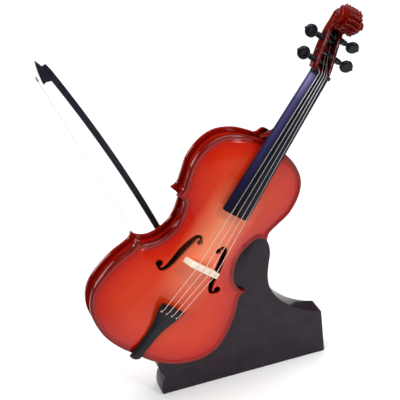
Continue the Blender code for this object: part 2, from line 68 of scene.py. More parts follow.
BRIDGE_Z = 66.6
BRIDGE_TOP_Y = -16.2
BRIDGE_SLOPE = 0.2
BOW_LENGTH = 208.0
BOW_CAMBER = 6.1
HAIR_THICK = 0.44
HAIR_WIDE = 2.5
# Each peg is its name, side, depth, height, how far out its head is and its turn.
PEGS = (("peg_low_left", -1, 1.4, 194.3, 13.5, -6.0),
        ("peg_low_right", 1, 3.2, 199.0, 14.4, 20.0),
        ("peg_high_left", -1, 7.4, 205.9, 13.5, -10.0),
        ("peg_high_right", 1, 8.6, 209.0, 14.4, 28.0))

LOWER_BOUT = [(0.0, 0.0), (12.0, 0.3), (24.0, 3.2), (36.2, 10.7), (43.0, 21.0), (43.9, 32.0),
              (41.6, 44.5), (38.2, 53.2), (37.1, 57.6), (38.4, 61.0)]
WAIST = [(38.4, 61.0), (33.6, 60.8), (28.2, 63.7), (24.2, 69.8), (22.2, 77.6), (23.4, 85.6),
         (26.0, 91.6), (31.8, 93.2)]
UPPER_BOUT = [(31.8, 93.2), (30.3, 97.4), (31.6, 103.0), (34.1, 113.0), (33.0, 124.0),
              (28.6, 132.6), (20.4, 138.4), (11.2, 141.2), (0.0, BODY_LENGTH)]


def mm(*values):
    return Vector([value * 0.001 for value in values])


def turned_frame(location, degrees):
    return Matrix.Translation(mm(*location)) @ Matrix.Rotation(math.radians(degrees), 4, "Y")


CELLO_AT = turned_frame((-63.7, -9.5, 33.3), 40.1)
BOW_AT = turned_frame((-9.7, 11.2, 13.0), -21.2)
STAND_AT = Matrix.Identity(4)


# ---- shape helpers
# A bevel rounds the edges that turn by more than this many degrees.
BEVEL_FROM = 38.0


def mix(a, b, amount):
    return a + (b - a) * amount


def smooth_through(points, steps):
    """A Catmull-Rom curve through the points, without its last point."""
    padded = [points[0], *points, points[-1]]
    path = []
    for before, start, end, after in zip(padded, padded[1:], padded[2:], padded[3:]):
        for step in range(steps):
            t = step / steps
            path.append(tuple(
                0.5 * (2 * b + (c - a) * t + (2 * a - 5 * b + 4 * c - d) * t ** 2
                       + (3 * b - a - 3 * c + d) * t ** 3)
                for a, b, c, d in zip(before, start, end, after)))
    return path


def through(points, steps):
    """The same curve with its last point."""
    return smooth_through(points, steps) + [tuple(points[-1])]


def mirrored(half):
    return half + [(-across, up) for across, up in reversed(half[1:-1])]


def shaded(mesh, sharp):
    """The mesh, smooth except at edges that turn by more than `sharp` degrees."""
    mesh.shade_smooth()
    mesh.set_sharp_from_angle(angle=math.radians(sharp))
    return mesh


def poured(name, shape, sharp):
    """A mesh from a bmesh, which is used up."""
    mesh = bpy.data.meshes.new(name)
    shape.to_mesh(mesh)
    shape.free()
    return shaded(mesh, sharp)


def closed_mesh(name, shape, sharp):
    """A mesh from a closed bmesh, with its faces pointing out."""
    bmesh.ops.recalc_face_normals(shape, faces=shape.faces)
    if shape.calc_volume(signed=True) < 0:
        bmesh.ops.reverse_faces(shape, faces=shape.faces)
    return poured(name, shape, sharp)


def loft(name, rings, sharp=40.0):
    """A skin over rings of equal point counts in millimetres, capped at both ends."""
    count = len(rings[0])
    shape = bmesh.new()
    made = [shape.verts.new(mm(*point)) for ring in rings for point in ring]
    for low in range(0, len(made) - count, count):
        for index in range(count):
            after = (index + 1) % count
            corners = (low + index, low + after, low + count + after, low + count + index)
            shape.faces.new([made[corner] for corner in corners])
    shape.faces.new(made[count - 1::-1])
    shape.faces.new(made[-count:])
    return closed_mesh(name, shape, sharp)


def prism(name, outline, front, back, sharp=40.0):
    """A flat outline in the XZ plane, from front to back along Y."""
    rings = [[(across, depth, up) for across, up in outline] for depth in (front, back)]
    return loft(name, rings, sharp)


def circle(radius, count):
    angles = [2 * math.pi * index / count for index in range(count)]
    return [(radius * math.cos(angle), radius * math.sin(angle)) for angle in angles]


def lathe(name, profile, axis, count, at=(0.0, 0.0, 0.0), sharp=35.0):
    """A solid turned about an X or Y axis through `at`, from (along, radius) pairs."""
    rings = []
    for along, radius in profile:
        ring = [(along, u, v) if axis == "X" else (u, along, v) for u, v in circle(radius, count)]
        rings.append([[a + b for a, b in zip(point, at)] for point in ring])
    return loft(name, rings, sharp)


def tube(name, path, radii, count):
    """A round rod through the points, with a radius for each."""
    points = [Vector(point) for point in path]
    side = (points[1] - points[0]).normalized().orthogonal().normalized()
    rings = []
    for before, point, after, radius in zip(points[:1] + points, points,
                                            points[1:] + points[-1:], radii):
        tangent = (after - before).normalized()
        side = (side - tangent * side.dot(tangent)).normalized()
        other = tangent.cross(side)
        rings.append([tuple(point + side * u + other * v) for u, v in circle(radius, count)])
    return loft(name, rings, 50.0)


def joined(name, meshes, sharp=40.0):
    """Several meshes in one, with the edges' sharpness set again."""
    shape = bmesh.new()
    for mesh in meshes:
        shape.from_mesh(mesh)
        bpy.data.meshes.remove(mesh)
    return poured(name, shape, sharp)


def add_object(name, data):
    obj = bpy.data.objects.new(name, data)
    bpy.context.scene.collection.objects.link(obj)
    return obj


def cut(mesh, cutters, bevel, sharp=40.0, segments=2):
    """The mesh with the cutters taken away and its edges rounded, worked out once."""
    made = [add_object("base", mesh)]
    for cutter in cutters:
        made.append(add_object("cutter", cutter))
        modifier = made[0].modifiers.new("cut", "BOOLEAN")
        modifier.operation = "DIFFERENCE"
        modifier.solver = "EXACT"
        modifier.object = made[-1]
    modifier = made[0].modifiers.new("bevel", "BEVEL")
    modifier.width = bevel * 0.001
    modifier.segments = segments
    modifier.limit_method = "ANGLE"
    modifier.angle_limit = math.radians(BEVEL_FROM)
    bpy.context.view_layer.update()
    graph = bpy.context.evaluated_depsgraph_get()
    result = bpy.data.meshes.new_from_object(made[0].evaluated_get(graph))
    for helper in made:
        bpy.data.objects.remove(helper, do_unlink=True)
    return shaded(result, sharp)


def place(name, mesh, material, at, body, nodes):
    """Shows a mesh as a piece of the object that stands for CAD nodes."""
    mesh.name = name
    mesh.materials.clear()
    mesh.materials.append(material)
    obj = add_object(name, mesh)
    obj.matrix_world = at
    bpy.context.view_layer.update()
    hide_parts(*nodes)
    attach(obj, body)


# ---- materials
class Paint:
    """A Principled material and short ways to add nodes to it."""

    def __init__(self, name, colour, roughness, metallic=0.0, coat=0.0, coat_roughness=0.03):
        self.material = bpy.data.materials.new(name)
        self.material.use_nodes = True
        self.tree = self.material.node_tree
        self.shader = self.tree.nodes["Principled BSDF"]
        self.set("Base Color", (*colour, 1.0))
        self.set("Roughness", roughness)
        self.set("Metallic", metallic)
        self.set("Coat Weight", coat)
        self.set("Coat Roughness", coat_roughness)
        self.set("Specular IOR Level", 0.5 if coat < 0.2 else 0.0)

    def set(self, name, value):
        self.shader.inputs[name].default_value = value

    def node(self, kind, **settings):
        node = self.tree.nodes.new("ShaderNode" + kind)
        for key, value in settings.items():
            setattr(node, key, value)
        return node

    def link(self, start, end):
        self.tree.links.new(start, end)

    def drive(self, name, value):
        self.link(value, self.shader.inputs[name])

    def axes(self, coordinates="Object"):
        """This point's X, Y and Z, in metres, or those of its normal."""
        split = self.node("SeparateXYZ")
        self.link(self.node("TexCoord").outputs[coordinates], split.inputs[0])
        return split.outputs

    def maths(self, operation, *values):
        node = self.node("Math", operation=operation)
        for value, socket in zip(values, node.inputs):
            self.feed(value, socket)
        return node.outputs[0]

    def place(self, scale):
        """Object coordinates stretched by scale."""
        mapping = self.node("Mapping")
        mapping.inputs["Scale"].default_value = scale
        self.link(self.node("TexCoord").outputs["Object"], mapping.inputs["Vector"])
        return mapping.outputs["Vector"]

    def noise(self, size, detail, scale=(1.0, 1.0, 1.0)):
        node = self.node("TexNoise")
        node.inputs["Scale"].default_value = size
        node.inputs["Detail"].default_value = detail
        node.inputs["Roughness"].default_value = 0.55
        self.link(self.place(scale), node.inputs["Vector"])
        return node.outputs["Fac"]

    def ramp(self, value, stops):
        """A colour for each value. A stop's colour may be one number, a grey."""
        node = self.node("ValToRGB")
        ramp = node.color_ramp
        while len(ramp.elements) < len(stops):
            ramp.elements.new(0.5)
        for element, (position, colour) in zip(ramp.elements, stops):
            element.position = position
            element.color = (*(colour if isinstance(colour, tuple) else [colour] * 3), 1.0)
        self.link(value, node.inputs["Fac"])
        return node.outputs["Color"]

    def blend(self, kind, amount, first, second):
        node = self.node("Mix", data_type="RGBA", blend_type=kind)
        self.feed(amount, node.inputs["Factor"])
        colours = [socket for socket in node.inputs if socket.type == "RGBA"]
        self.feed(first, colours[0])
        self.feed(second, colours[1])
        return next(socket for socket in node.outputs if socket.type == "RGBA")

    def feed(self, value, socket):
        if isinstance(value, bpy.types.NodeSocket):
            self.link(value, socket)
        elif isinstance(value, tuple):
            socket.default_value = (*value, 1.0)
        else:
            socket.default_value = value

    def levels(self, value, low, high, to_low=0.0, to_high=1.0):
        """The value stretched so that low and high become to_low and to_high."""
        node = self.node("MapRange")
        for name, number in zip(("From Min", "From Max", "To Min", "To Max"),
                                (low, high, to_low, to_high)):
            node.inputs[name].default_value = number
        self.link(value, node.inputs["Value"])
        return node.outputs["Result"]

    def bump(self, height, strength, distance, before=None, coat=False):
        node = self.node("Bump")
        node.inputs["Strength"].default_value = strength
        node.inputs["Distance"].default_value = distance
        self.link(height, node.inputs["Height"])
        if before is not None:
            self.link(before, node.inputs["Normal"])
        self.link(node.outputs["Normal"], self.shader.inputs["Normal"])
        if coat:
            self.link(node.outputs["Normal"], self.shader.inputs["Coat Normal"])
        return node.outputs["Normal"]


# ---- the plates
PLATE_HALF = [point for stretch in (LOWER_BOUT, WAIST, UPPER_BOUT)
              for point in smooth_through(stretch, 8)] + [UPPER_BOUT[-1]]
BODY = mirrored(PLATE_HALF)
# No plate is wider than this on either side.
HALF_SPAN = 48.0


def distance_to(points, loop):
    """Each point's distance to a closed outline."""
    best = np.full(len(points), np.inf)
    corners = np.array(loop)
    for start, end in zip(corners, np.roll(corners, -1, axis=0)):
        along = end - start
        share = np.clip((points - start) @ along / max(along @ along, 1e-9), 0.0, 1.0)
        away = points - start - share[:, None] * along
        best = np.minimum(best, np.hypot(away[:, 0], away[:, 1]))
    return best


def within(points, loop):
    """Which points lie inside a closed outline."""
    inside = np.zeros(len(points), bool)
    corners = np.array(loop)
    for (x0, z0), (x1, z1) in zip(corners, np.roll(corners, -1, axis=0)):
        if z0 == z1:
            continue
        crosses = (z0 > points[:, 1]) != (z1 > points[:, 1])
        at = x0 + (points[:, 1] - z0) * (x1 - x0) / (z1 - z0)
        inside ^= crosses & (points[:, 0] < at)
    return inside


class Arch:
    """The swell of a plate, as a stretched skin over its outline. Tall is 1."""

    STEP = 1.5
    MARGIN = 2.6
    LEFT, BOTTOM = -HALF_SPAN, -3.0
    ROUNDS = 2600
    # The push is evened out over this many rows each way, and is 1 at this half width.
    BLUR = 8
    EVEN_HALF = 30.0
    LEAST_HALF = 12.0

    def __init__(self, outline):
        xs = np.arange(self.LEFT, HALF_SPAN + 0.1, self.STEP)
        zs = np.arange(self.BOTTOM, BODY_LENGTH + 4.0, self.STEP)
        grid = np.array(np.meshgrid(xs, zs)).reshape(2, -1).T
        depth = np.where(within(grid, outline), distance_to(grid, outline), 0.0)
        free = (depth > self.MARGIN).reshape(len(zs), len(xs))
        half = np.maximum(free.sum(axis=1) * self.STEP / 2, self.LEAST_HALF)
        rows = 2 * self.BLUR + 1
        half = np.convolve(np.pad(half, self.BLUR, "edge"), np.ones(rows) / rows, "valid")
        push = (self.EVEN_HALF / half)[:, None] ** 2 * np.ones(len(xs))
        swell = np.zeros(free.shape)
        for _ in range(self.ROUNDS):
            around = (np.roll(swell, 1, 0) + np.roll(swell, -1, 0) + np.roll(swell, 1, 1)
                      + np.roll(swell, -1, 1)) / 4
            swell = np.where(free, around + push, 0.0)
        self.swell = swell / swell.max()

    def at(self, points):
        """The height share of each (across, up) point."""
        u = np.clip((points[:, 0] - self.LEFT) / self.STEP, 0, self.swell.shape[1] - 1.001)
        v = np.clip((points[:, 1] - self.BOTTOM) / self.STEP, 0, self.swell.shape[0] - 1.001)
        i, j = v.astype(int), u.astype(int)
        s, t = u - j, v - i
        s, t = s * s * (3 - 2 * s) * 0.3 + s * 0.7, t * t * (3 - 2 * t) * 0.3 + t * 0.7
        low = self.swell[i, j] * (1 - s) + self.swell[i, j + 1] * s
        high = self.swell[i + 1, j] * (1 - s) + self.swell[i + 1, j + 1] * s
        share = low * (1 - t) + high * t
        return np.sin(np.clip(share, 0, 1) * math.pi / 2) ** 1.25


RIM_STEPS = (0.0, 0.07, 0.2, 0.42, 0.75, 1.15, 1.6, 2.05, 2.3, 2.5, 2.7, 3.05, 3.3, 3.5, 3.7,
             4.3, 5.2, 6.4)
RIM_PROFILE = ((0.0, -0.95), (0.07, -0.62), (0.2, -0.36), (0.42, -0.14), (0.75, 0.0),
               (1.15, -0.01), (1.6, -0.09), (2.3, -0.22), (3.0, -0.27), (4.0, -0.26),
               (6.0, -0.17), (9.0, -0.05), (12.0, 0.0))
GROOVES = (2.5, 3.5)
GROOVE_DEPTH = 0.13
GROOVE_HALF = 0.22
PLATE_WOOD = 2.2
# A point this near the outline is on it.
ON_EDGE = 0.05

# The stain changes over this distance from the edge. The walls of the holes and the plate's inside
# are painted black as shade, from these distances inwards.
STAIN_REACH = 20.0
HOLE_SHADE = -8.0
WALL_FROM = 1.0
INSIDE_FROM = 9.0


def rim_height(depth):
    """A rounded bead along the edge, a hollow inside it and two scored lines."""
    known = np.array(RIM_PROFILE)
    height = np.interp(depth, known[:, 0], known[:, 1])
    for line in GROOVES:
        height -= GROOVE_DEPTH * np.clip(1 - np.abs(depth - line) / GROOVE_HALF, 0, 1)
    return height


def spread(outline, holes, levels, spacing):
    """Triangles over an outline with holes: points (across, up) and corner indexes."""
    points = []
    edges = []
    for loop in (outline, *holes):
        first = len(points)
        points.extend(loop)
        edges.extend((first + index, first + (index + 1) % len(loop))
                     for index in range(len(loop)))
    corners = np.array(outline)
    along = np.roll(corners, -1, axis=0) - np.roll(corners, 1, axis=0)
    along /= np.hypot(along[:, 0], along[:, 1])[:, None]
    inwards = np.stack([-along[:, 1], along[:, 0]], axis=1)
    for level in levels[1:]:
        ring = corners + inwards * level
        keep = within(ring, outline) & (distance_to(ring, outline) > level - 0.02)
        number = np.cumsum(keep) - 1 + len(points)
        points.extend(map(tuple, ring[keep]))
        both = keep & np.roll(keep, -1)
        edges += np.stack([number, np.roll(number, -1)], axis=1)[both].tolist()
    xs = np.arange(-HALF_SPAN, HALF_SPAN, spacing)
    zs = np.arange(0.0, BODY_LENGTH + 8.0, spacing * 0.866)
    grid = np.array([(x + (row % 2) * spacing / 2, z) for row, z in enumerate(zs) for x in xs])
    free = within(grid, outline) & (distance_to(grid, outline) > levels[-1] + spacing * 0.6)
    for hole in holes:
        free &= ~within(grid, hole) & (distance_to(grid, hole) > spacing * 0.45)
    points.extend(map(tuple, grid[free]))
    made, _, faces, *_ = delaunay_2d_cdt([Vector(p) for p in points], edges, [], 0, 1e-4)
    made = np.array([tuple(p) for p in made])
    faces = np.array(faces)
    middles = made[faces].mean(axis=1)
    kept = within(middles, outline)
    for hole in holes:
        kept &= ~within(middles, hole)
    return made, faces[kept]


def open_edges(faces):
    """The edges that only one triangle uses, each in that triangle's direction."""
    seen = dict.fromkeys(edge for a, b, c in faces.tolist()
                         for edge in ((a, b), (b, c), (c, a)))
    return [edge for edge in seen if edge[::-1] not in seen]


def plate(name, outline, holes, arch, edge_y, out, tall, underside):
    """A carved plate. Its "edge" layer drives the stain, which is even on the underside near the
    edge; further in, and on the walls of the holes, it paints shade black.
    """

    def lifted(points, heights):
        return [(x, edge_y + out * h, z) for (x, z), h in zip(points.tolist(), heights.tolist())]

    def measured(points):
        """Each point's distance from the edge, its swell and the height of the underside."""
        depth, swell = distance_to(points, outline), arch.at(points) * tall
        low = np.maximum(-PLATE_EDGE, swell - PLATE_WOOD)
        return depth, swell, np.where(depth < ON_EDGE, -PLATE_EDGE, low)

    points, faces = spread(outline, holes, RIM_STEPS, 1.7)
    depth, swell, low = measured(points)
    vertices = lifted(points, swell + rim_height(depth))
    shape_faces = faces.tolist()
    wall = {}
    for a, b in open_edges(faces):
        for index in (a, b):
            wall.setdefault(index, len(points) + len(wall))
        shape_faces.append((a, b, wall[b], wall[a]))
    rim = list(wall)
    vertices += lifted(points[rim], low[rim])
    inner, inner_faces = spread(outline, holes, (0.0,), 6.0)
    first = len(vertices)
    vertices += lifted(inner, measured(inner)[2])
    shape_faces += (inner_faces + first).tolist()

    shape = bmesh.new()
    stain = shape.verts.layers.float.new("edge")
    made = [shape.verts.new(mm(*vertex)) for vertex in vertices]
    inwards = distance_to(np.array(vertices)[:, [0, 2]], BODY)
    # Painted shade: the underside away from the edge and the walls of the holes get the darkest
    # stain.
    inwards[first:] = np.where(inwards[first:] > INSIDE_FROM, HOLE_SHADE, underside)
    walls = inwards[len(points):first]
    walls[:] = np.where(walls > WALL_FROM, HOLE_SHADE, underside)
    for vertex, value in zip(made, inwards.tolist()):
        vertex[stain] = min(value / STAIN_REACH, 1.0)
    for face in shape_faces:
        shape.faces.new([made[index] for index in face])
    bmesh.ops.remove_doubles(shape, verts=shape.verts, dist=0.000002)
    return closed_mesh(name, shape, 42.0)


F_PATH = [(6.3, 77.4), (7.6, 79.1), (9.7, 78.3), (11.1, 74.5), (12.9, 67.0), (13.9, 60.5),
          (15.2, 55.6), (17.2, 53.0), (19.8, 53.6)]
F_EYES = ((6.5, 76.4, 1.8), (20.1, 55.4, 2.15))
F_NOTCH = (12.95, 66.8)


def f_hole(side):
    """The outlines that one f-hole is cut to: its stem, its two eyes and its nicks."""
    path = np.array(through(F_PATH, 5))
    along = np.gradient(path, axis=0)
    along /= np.hypot(along[:, 0], along[:, 1])[:, None]
    off = np.stack([-along[:, 1], along[:, 0]], axis=1)
    share = np.linspace(0.0, 1.0, len(path))
    width = (0.8 + 1.35 * np.sin(math.pi * share) ** 1.7)[:, None]
    stem = np.concatenate([path + off * width, (path - off * width)[::-1]])
    loops = [stem] + [np.array(circle(radius, 24)) + (x, z) for x, z, radius in F_EYES]
    x, z = F_NOTCH
    loops.append(np.array([(x - 2.3, z - 0.1), (x, z - 0.75), (x + 2.3, z + 0.1), (x, z + 0.75)]))
    return [[(side * float(a), float(b)) for a, b in loop] for loop in loops]


# The back plate's button, as half widths against heights above the body.
BUTTON = ((6.6, -0.9), (5.2, 0.3), (4.6, 2.0), (3.8, 3.4), (2.2, 4.1), (0.0, 4.2))


def on_cello(name, mesh, material, node):
    place(name, mesh, material, CELLO_AT, "cello", [node])


def make_plates():
    arch = Arch(BODY)
    front = plate("front", BODY, f_hole(1) + f_hole(-1), arch, 0.0, -1, FRONT_ARCH, 0.0)
    on_cello("front_plate_carved", front, VARNISH, "front_plate")
    button = [(x, BODY_LENGTH + up) for x, up in BUTTON]
    half = [point for point in PLATE_HALF if point[0] > 7.4 or point[1] < 100.0]
    back = plate("back", mirrored(half + button), [], arch, BACK_OUTSIDE, 1, BACK_ARCH, 2.0)
    on_cello("back_plate_carved", back, VARNISH, "back_plate")


# ---- the ribs
def offset_path(path, distance):
    """The path moved to its left by the distance."""
    moved = []
    for index, (across, up) in enumerate(path):
        before = path[max(index - 1, 0)]
        after = path[min(index + 1, len(path) - 1)]
        along = (Vector(after) - Vector(before)).normalized()
        moved.append((across - along.y * distance, up + along.x * distance))
    return moved


def crossing(path, other):
    """Where two paths first cross: each one's stretch, by number, and the point."""
    for i, (a, b) in enumerate(zip(path, path[1:])):
        for j, (c, d) in enumerate(zip(other, other[1:])):
            r, s = Vector(b) - Vector(a), Vector(d) - Vector(c)
            bend = r.x * s.y - r.y * s.x
            if abs(bend) < 1e-9:
                continue
            gap = Vector(c) - Vector(a)
            t = (gap.x * s.y - gap.y * s.x) / bend
            u = (gap.x * r.y - gap.y * r.x) / bend
            if 0 <= t <= 1 and 0 <= u <= 1:
                return i, j, tuple(Vector(a) + r * t)
    raise ValueError("the two stretches don't cross")


def inset_stretches(distance):
    """The lower bout, waist and upper bout moved inwards and cut where they meet."""
    lower, waist, upper = (offset_path(through(points, 9), distance)
                           for points in (LOWER_BOUT, WAIST, UPPER_BOUT))
    i, j, low_corner = crossing(lower, waist)
    k, m, high_corner = crossing(waist, upper)
    lower = [(0.0, distance)] + lower[1:i + 1] + [low_corner]
    upper = [high_corner] + upper[m + 1:-1] + [(0.0, BODY_LENGTH - distance)]
    waist = [low_corner] + waist[j + 1:k + 1] + [high_corner]
    return lower, waist, upper


def make_ribs():
    outer = inset_stretches(RIB_INSET)
    inner = inset_stretches(RIB_INSET + RIB_THICKNESS)
    front = PLATE_EDGE + RIB_CLEAR
    back = RIB_BACK - RIB_CLEAR
    for name, outside, inside in zip(("lower", "waist", "upper"), outer, inner):
        for side, sign in (("right", 1), ("left", -1)):
            strip = [(sign * across, up) for across, up in outside + inside[::-1]]
            mesh = prism("rib", strip, front, back, 50.0)
            node = f"rib_{name}_{side}"
            on_cello(f"{node}_bent", mesh, SHADED_RIB_VARNISH, node)


# ---- the neck and board
# The strings' places across, in steps of a spacing that each end has for itself.
STRING_SPOTS = (-1.5, -0.5, 0.5, 1.5)
NUT_SPACING = 1.7
TAIL_SPACING = 3.5


def board_y(up):
    return mix(BOARD_END_Y, BOARD_NUT_Y, (up - BOARD_END_Z) / (NUT_Z - BOARD_END_Z))


def board_section(up, half, top, deep):
    """The board's section: a flat under the low string, a camber, straight sides."""
    points = [(-half, top + 1.55), (-half + 0.25, top + 1.25)]
    points += [(mix(-half + 0.6, -0.12 * half, k / 3), top + mix(1.12, 0.08, k / 3))
               for k in range(4)]
    points += [(x * half, top + 1.15 * max(x, 0.0) ** 2)
               for x in (0.08, 0.25, 0.42, 0.6, 0.78, 0.92)]
    points += [(half - 0.12, top + 1.22), (half, top + 1.5), (0.96 * half, top + deep),
               (-0.96 * half, top + deep)]
    return [(x, y, up) for x, y in points]


def make_board():
    rings = []
    for up, trim in ((BOARD_END_Z, 0.22), (BOARD_END_Z + 0.25, 0.0), (BOARD_END_Z + 30, 0.0),
                     (BOARD_END_Z + 60, 0.0), (NUT_Z - 0.2, 0.0), (NUT_Z, 0.12)):
        half = mix(8.2, 5.9, (up - BOARD_END_Z) / (NUT_Z - BOARD_END_Z)) - trim
        rings.append(board_section(up, half, board_y(up) + trim, 3.85 - trim))
    on_cello("fingerboard_shaped", loft("board", rings, 24.0), BOARD_BLACK, "fingerboard")

    outline = []
    for k in range(13):
        x = mix(-1.0, 1.0, k / 12)
        nearest = min(abs(x * 6.0 - spot * NUT_SPACING) for spot in STRING_SPOTS)
        dip = 0.22 * max(0.0, 1 - nearest / 0.6)
        outline.append((6.0 * x, BOARD_NUT_Y - 0.95 + 0.8 * x * x + dip))
    outline += [(6.0, -1.3), (-6.0, -1.3)]
    rings = [[(x, y + lower * (y < -3.0), up) for x, y in outline]
             for up, lower in ((NUT_Z + 0.1, 0.25), (NUT_Z + 0.5, 0.0), (NUT_Z + 1.7, 0.05),
                               (NUT_Z + 2.2, 0.4))]
    on_cello("nut_notched", loft("nut", rings, 30.0), BLACK, "nut")


NECK = ((140.9, 3.0, 10.4, 5.6), (143.6, 2.4, 10.6, 5.6), (145.8, -2.6, 9.6, 5.3),
        (148.2, -2.9, 6.2, 4.8), (151.5, -3.1, 3.2, 4.6), (157.0, -3.4, 2.3, 4.5),
        (170.0, -3.0, 2.3, 4.5), (184.0, -2.1, 3.0, 4.6), (190.7, -1.6, 4.3, 5.0))


def neck_ring(up, front, back, half):
    points = [(-half, front, up), (half, front, up)]
    for k in range(17):
        angle = math.pi * k / 16
        depth = mix(front, back, 0.35) + 0.65 * (back - front) * math.sin(angle)
        points.append((half * math.cos(angle), depth, up))
    return points


def make_neck():
    stations = through(NECK, 4)
    heel = [neck_ring(*s) for s in stations if s[0] < 149.4]
    shaft = [neck_ring(*s) for s in stations if s[0] > 148.3]
    head = joined("scroll", [pegbox(), scroll_half(1), scroll_half(-1)], 46.0)
    on_cello("neck_heel", loft("heel", heel, 50.0), SCROLL_VARNISH, "neck_scroll")
    on_cello("neck_shaft", loft("shaft", shaft, 50.0), BLACK, "neck_scroll")
    on_cello("pegbox_and_scroll", head, SCROLL_VARNISH, "neck_scroll")


# Each station is up, front, back, half width, the mouth's floor and its half width.
PEGBOX = ((189.6, -3.6, 4.2, 5.4, 2.2, 3.9), (193.0, -2.3, 5.9, 5.6, 3.6, 3.9),
          (200.0, 1.4, 10.0, 5.3, 7.9, 3.5), (206.0, 4.5, 12.6, 5.0, 10.4, 3.1),
          (211.0, 6.8, 14.3, 4.7, 12.0, 2.8), (215.0, 7.9, 15.0, 4.3, 12.9, 2.6),
          (220.0, 8.0, 15.0, 4.1, 12.8, 2.4))
MOUTH = (191.3, 212.4)


def pegbox():
    """The open box for the pegs: two cheeks and a fluted back."""
    rings = []
    for up, front, back, half, floor, inner in through(PEGBOX, 6):
        solid = not MOUTH[0] <= up <= MOUTH[1]
        floor = front + 0.06 if solid else floor
        right = [(inner, floor), (inner, front + 0.2), (inner + 0.25, front), (half - 0.3, front),
                 (half, front + 0.35), (half + 0.12, mix(front, back, 0.5)), (half, back - 1.1),
                 (half - 0.45, back - 0.2), (half - 0.9, back), (half * 0.52, back - 0.75),
                 (half * 0.16, back - 0.1)]
        ring = right + [(-x, y) for x, y in reversed(right)]
        rings.append([(x, y, up) for x, y in ring])
    return loft("pegbox", rings, 40.0)


SCROLL_EYE = (3.5, 220.2)
SCROLL_START = -28.0
# Turns from the start against radius, and against half width. The crown's flutes are shares of
# the half width against height, and RIDGES cross the crown in each turn.
SCROLL_RADII = ((0.0, 11.9), (0.12, 10.1), (0.22, 8.8), (0.34, 8.0), (0.55, 7.4), (0.82, 6.7),
                (1.07, 5.9), (1.32, 4.4), (1.57, 3.8), (1.82, 3.8), (2.07, 3.6), (2.32, 3.3),
                (2.6, 2.9), (9.0, 0.0))
SCROLL_WIDTHS = ((0.0, 4.2), (0.4, 4.2), (0.7, 4.7), (1.05, 5.5), (1.32, 6.4), (1.57, 7.4),
                 (2.05, 8.5), (2.6, 9.0))
SCROLL_TURNS = 2.6
FLUTES = ((0.0, 0.1), (0.08, -0.2), (0.19, -0.5), (0.31, -0.2), (0.38, 0.1), (0.45, -0.2),
          (0.58, -0.6), (0.71, -0.5), (0.84, -0.1))
RIDGES = 14


def scroll_half(side):
    """One side of the scroll: a band that winds in to its eye and steps out as it goes."""
    radii, widths = np.array(SCROLL_RADII), np.array(SCROLL_WIDTHS)

    def at(table, turn):
        return float(np.interp(turn, table[:, 0], table[:, 1]))

    def notch(turn):
        """How deep the crown is cut here, between one ridge that crosses it and the next."""
        share = 1 - abs(math.sin(math.pi * RIDGES * turn))
        return 1.6 * share ** 1.4 * min(max((turn - 0.06) / 0.1, 0), max((1.5 - turn) / 0.5, 0), 1)

    rings = []
    count = int(SCROLL_TURNS * RIDGES * 8) + 1
    for k in range(count):
        turn = SCROLL_TURNS * k / (count - 1)
        out, wide = at(radii, turn) + 0.2 - notch(turn), at(widths, turn)
        inner = at(radii, turn + 1.0) if turn + 1.0 < SCROLL_TURNS else 0.25
        low = 0.0
        if turn < 1.0:
            rim = [(share * wide, out + drop) for share, drop in FLUTES]
            rim.append((wide - 0.3, out))
        else:
            low = at(widths, turn - 1.0) - 0.5
            rim = [(mix(low, wide - 0.3, j / 9), out - 0.12 * math.sin(math.pi * j / 9))
                   for j in range(10)]
        face = [(wide, out - 0.3), (wide - 0.08, out - 0.8), (wide - 0.55, mix(out, inner, 0.45)),
                (wide - 0.7, mix(out, inner, 0.8)), (wide - 0.6, inner), (low, inner * 0.9)]
        angle = math.radians(SCROLL_START + 360.0 * turn)
        rings.append([(side * x, SCROLL_EYE[0] + r * math.cos(angle),
                       SCROLL_EYE[1] + r * math.sin(angle)) for x, r in rim + face])
    return loft("scroll", rings, 46.0)


def make_pegs():
    for name, side, y, z, out, turn in PEGS:
        profile = [(-5.5, 0.9), (-5.2, 1.15), (4.9, 1.3), (5.0, 1.75), (5.3, 1.9), (7.6, 1.75),
                   (7.9, 1.5), (8.3, 1.45), (8.6, 1.7), (9.0, 1.7), (9.3, 1.3),
                   (out - 3.9, 1.15), (out - 3.0, 1.4), (out - 2.0, 1.6)]
        shaft = lathe("shaft", [(side * along, r) for along, r in profile], "X", 24, (0.0, y, z))
        head_profile = [(-1.2, 0.2), (-1.2, 1.4), (-1.5, 2.6), (-1.25, 3.3), (-0.6, 3.72),
                        (0.6, 3.72), (1.25, 3.3), (1.5, 2.6), (1.2, 1.4), (1.2, 0.2)]
        head = lathe("head", head_profile, "Y", 36, sharp=45.0)
        tip = lathe("tip", [(3.3, 1.0), (3.7, 1.0), (4.2, 0.7), (4.45, 0.15)], "X", 16)
        tip.transform(Matrix.Scale(side, 4, Vector((1, 0, 0))))
        whole = joined("head", [head, tip])
        whole.transform(Matrix.Translation(mm(side * out, y, z))
                        @ Matrix.Rotation(math.radians(turn), 4, "X"))
        place(f"{name}_turned", joined(name, [shaft, whole], 40.0), BLACK, CELLO_AT, name, [name])


# ---- the fittings
def make_bridge():
    half = [(0.0, -7.4), (1.6, -7.3), (3.4, -6.7), (4.4, -5.6), (4.9, -4.35), (9.2, -3.75),
            (9.4, -4.6), (9.3, -6.6), (9.25, -9.0), (9.25, -12.0), (9.15, -14.0), (8.6, -14.95),
            (6.6, -15.5), (4.2, -15.9), (2.0, -16.12), (0.0, BRIDGE_TOP_Y)]
    rings = [[(x, y, BRIDGE_Z + off - BRIDGE_SLOPE * (y - BRIDGE_TOP_Y))
              for x, y in mirrored(half)] for off in (-1.7, 1.7)]
    bridge = cut(loft("bridge", rings), [], 0.3, segments=3)
    on_cello("bridge_cut", bridge, MAPLE, "bridge")


# The height of the strings' ball ends.
BALL_Z = 32.2
